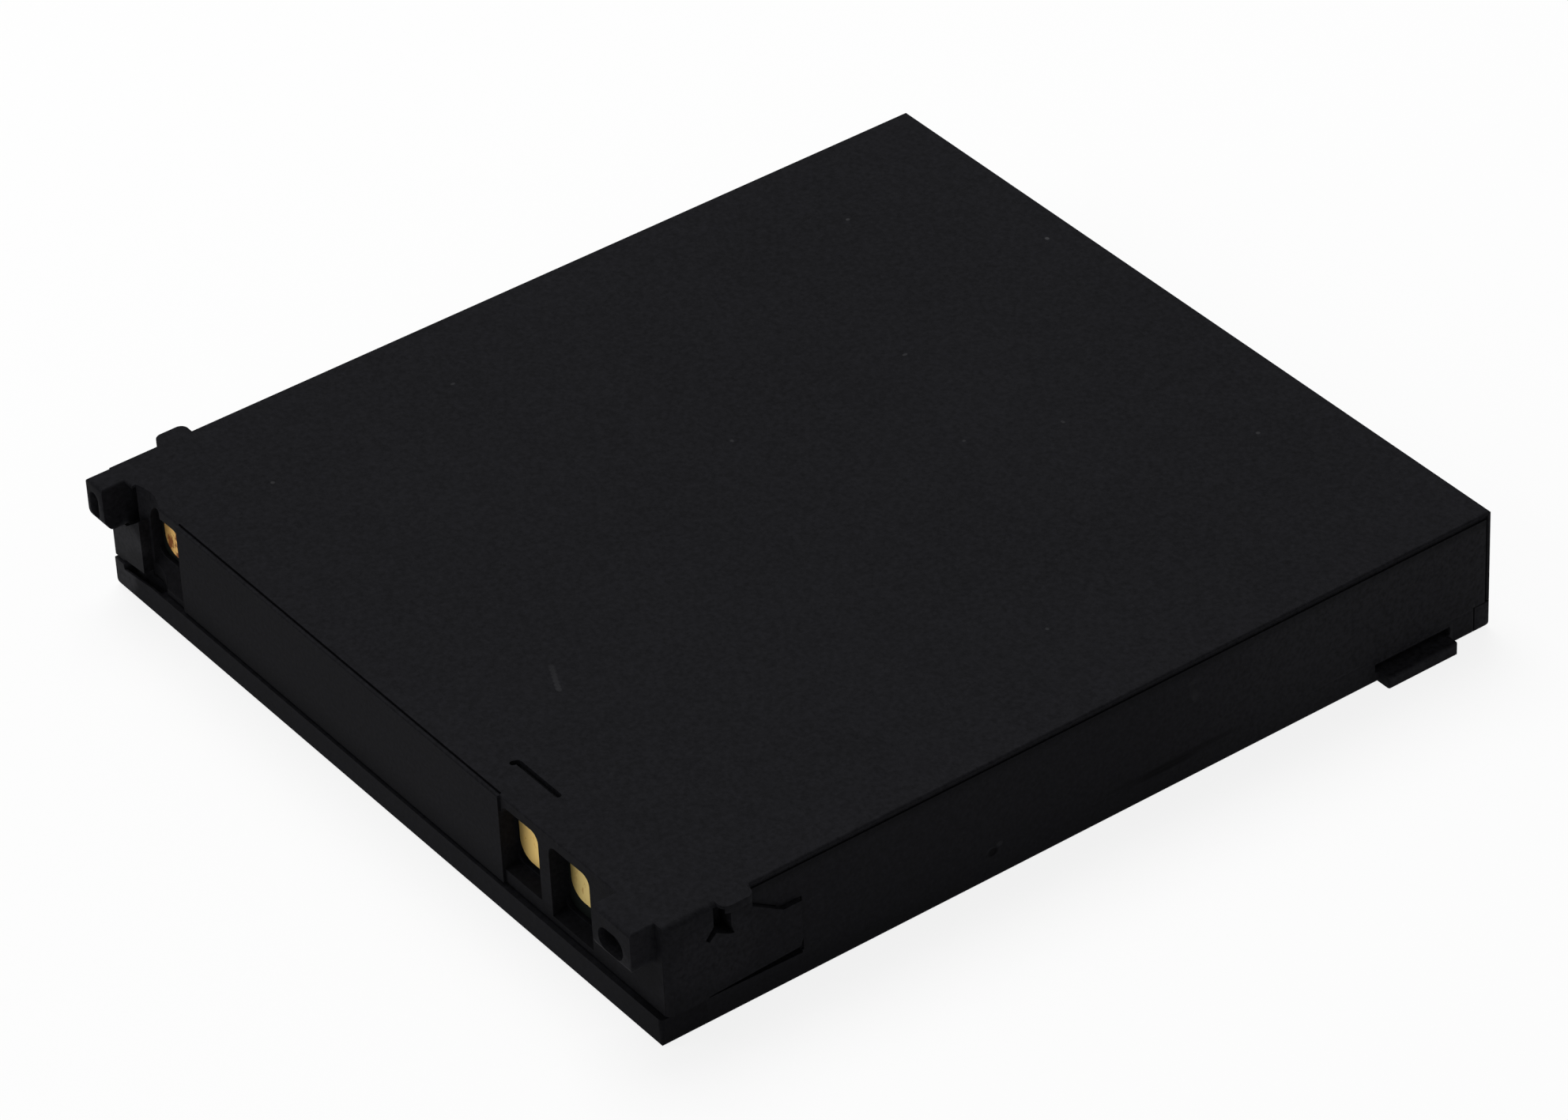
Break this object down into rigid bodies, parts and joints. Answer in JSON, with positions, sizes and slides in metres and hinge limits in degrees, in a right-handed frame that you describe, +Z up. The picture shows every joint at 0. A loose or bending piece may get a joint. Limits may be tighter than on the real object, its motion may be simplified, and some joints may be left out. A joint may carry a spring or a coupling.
{
  "type": "mobile phone battery",
  "caption": "Flat clip-in battery pack with recessed gold contacts, two locating ears, side nubs and a low latch tab.",
  "frame": {"origin": "middle of the flat base, with the latch tab, the ears, the nubs and the wing left out", "axes": "+X across the contact end towards the side with the latch tab, +Y from the contact end to the tail, +Z up through the thickness"},
  "size_m": [0.0393, 0.0419, 0.0057],
  "materials": {
    "frame_plastic": "black, fine spark-eroded texture",
    "tray_plastic": "black, fine spark-eroded texture",
    "film": "matt black film",
    "gold_contact": "hard gold plating, lightly scuffed",
    "can_aluminium": "drawn, satin",
    "gasket_plastic": "natural white",
    "nickel": "nickel, satin",
    "insulating_paper": "tan fish paper",
    "black_sheet": "black polyester sheet",
    "tape": "cream adhesive tape",
    "foam": "fine-celled foam",
    "board": "black solder mask",
    "chip_plastic": "moulded epoxy",
    "ceramic_part": "fired ceramic with tinned ends",
    "cutout_plastic": "coated laminate"
  },
  "bodies": {
    "root": {"upper_frame": "frame_plastic", "bottom_tray": "tray_plastic", "wrap_film": "film", "contact_positive": "gold_contact", "contact_thermistor": "gold_contact", "contact_negative": "gold_contact", "cell_can": "can_aluminium", "cell_lid": "can_aluminium", "fill_plug": "can_aluminium", "terminal_gasket": "gasket_plastic", "terminal_rivet": "nickel", "lid_insulator": "insulating_paper", "top_sheet": "black_sheet", "floor_tape": "tape", "tail_foam": "foam", "protection_board": "board", "protection_chip": "chip_plastic", "switch_chip": "chip_plastic", "sense_thermistor": "ceramic_part", "board_capacitors": "ceramic_part", "board_resistors": "ceramic_part", "thermal_cutout": "cutout_plastic", "strip_positive": "nickel", "strip_terminal": "nickel", "strip_cutout": "nickel", "cutout_tape": "tape"}
  },
  "joints": []
}
